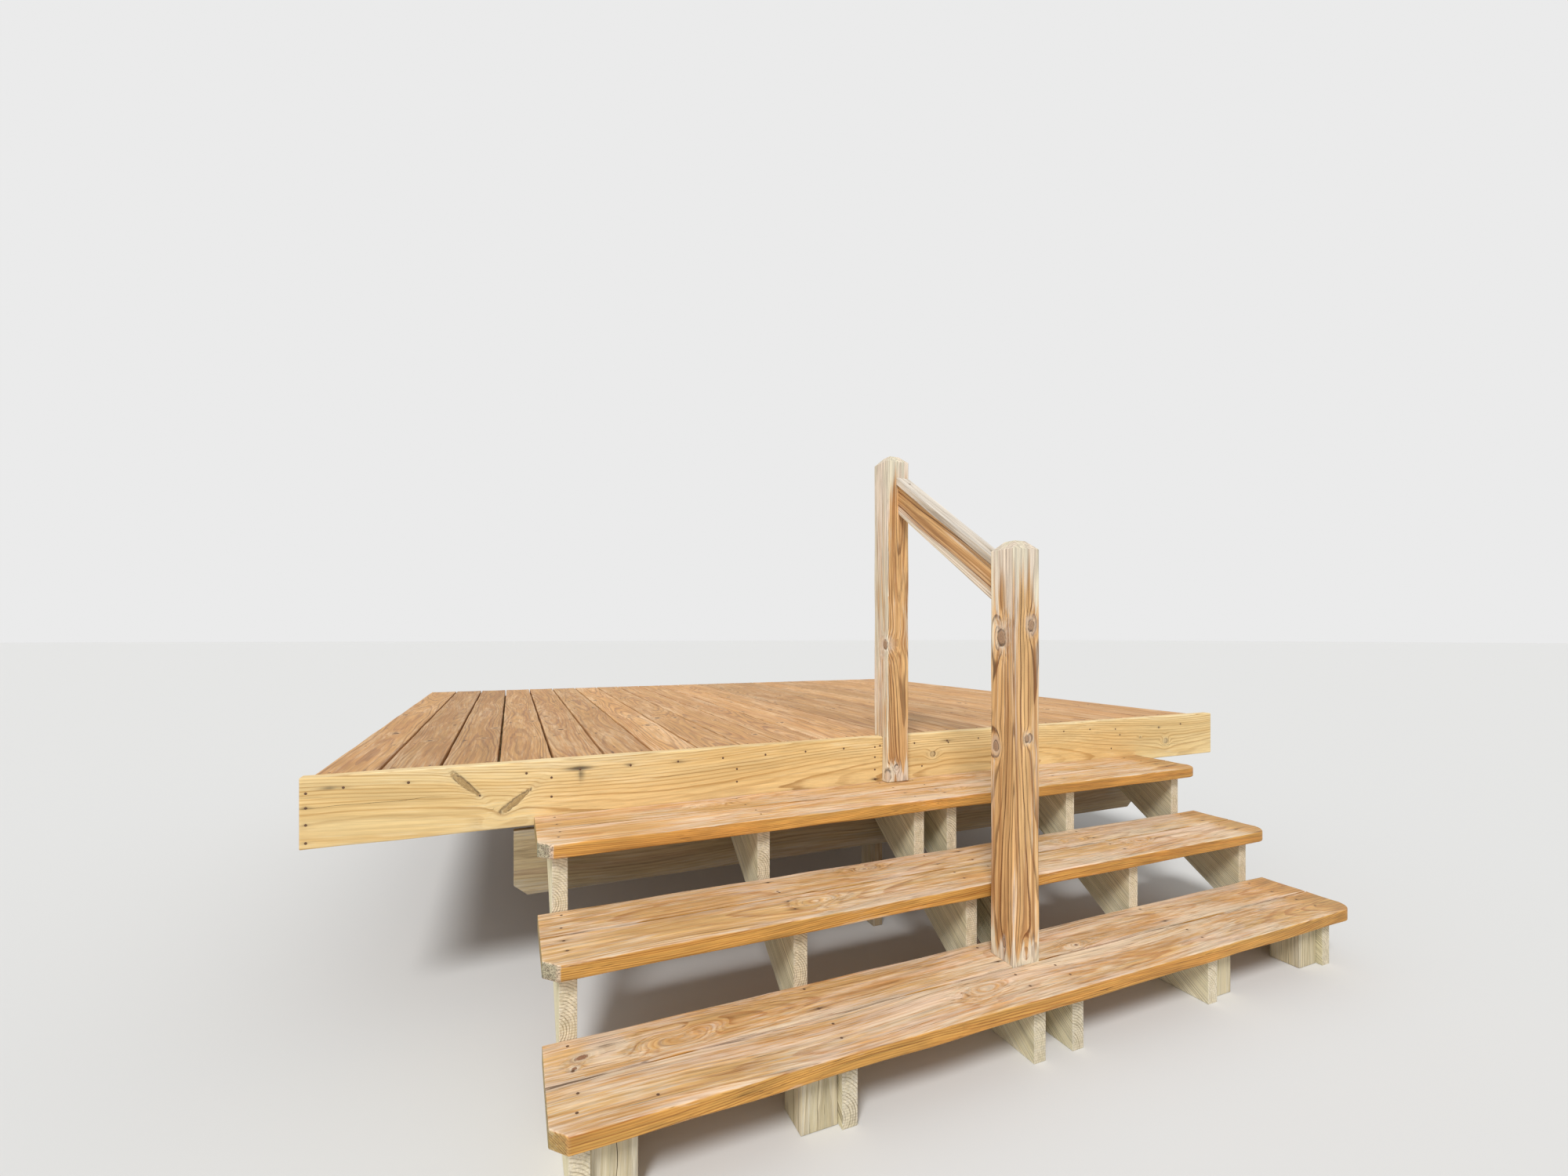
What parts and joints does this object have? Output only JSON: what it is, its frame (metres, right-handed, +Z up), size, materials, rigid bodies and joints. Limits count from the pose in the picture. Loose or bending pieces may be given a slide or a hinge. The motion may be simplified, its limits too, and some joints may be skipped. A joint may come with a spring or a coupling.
{
  "type": "deck stairs",
  "caption": "Wooden deck along a house, with a flight of wide open steps on sawn stringers, and a short sloping handrail between two square newel posts.",
  "frame": {"origin": "middle of the back ledger's face that is bolted to the house, at half the ledger's height", "axes": "+Y points from the steps to the house, +Z is up, +X runs along the front edge to the right as seen from the steps"},
  "size_m": [3.49, 3.492, 1.692],
  "materials": {
    "rim_wood": "newer softwood plank, clear coat, light honey colour",
    "frame_wood": "bare treated softwood, greyed olive brown",
    "deck_wood": "stained softwood, reddish brown, worn",
    "stringer_wood": "bare treated softwood, pale cream grey, sawn faces",
    "tread_wood": "stained softwood, warm orange tan, worn pale on top",
    "post_wood": "stained softwood, golden brown with dark grain",
    "cap_wood": "bare weathered softwood, grey white"
  },
  "bodies": {
    "root": {"front_rim": "rim_wood", "front_joist": "frame_wood", "left_ledger": "frame_wood", "right_ledger": "frame_wood", "back_ledger": "frame_wood", "floor_joist_1": "frame_wood", "floor_joist_2": "frame_wood", "floor_joist_3": "frame_wood", "floor_joist_4": "frame_wood", "floor_joist_5": "frame_wood", "deck_boards_1": "deck_wood", "deck_boards_2": "deck_wood", "deck_boards_3": "deck_wood", "deck_boards_4": "deck_wood", "deck_boards_5": "deck_wood", "deck_boards_6": "deck_wood", "hanger_board": "frame_wood", "centre_leg": "frame_wood", "stringer_1": "stringer_wood", "stringer_2": "stringer_wood", "stringer_3": "stringer_wood", "stringer_4": "stringer_wood", "stringer_5": "stringer_wood", "stringer_6": "stringer_wood", "tread_1_front": "tread_wood", "tread_1_rear": "tread_wood", "tread_2_front": "tread_wood", "tread_2_rear": "tread_wood", "tread_3_front": "tread_wood", "tread_3_rear": "tread_wood", "stub_post_1": "stringer_wood", "stub_post_2": "stringer_wood", "stub_post_3": "stringer_wood", "stub_post_4": "stringer_wood", "newel_lower": "post_wood", "newel_upper": "post_wood", "rail_cap": "cap_wood", "rail_under": "post_wood"}
  },
  "joints": []
}
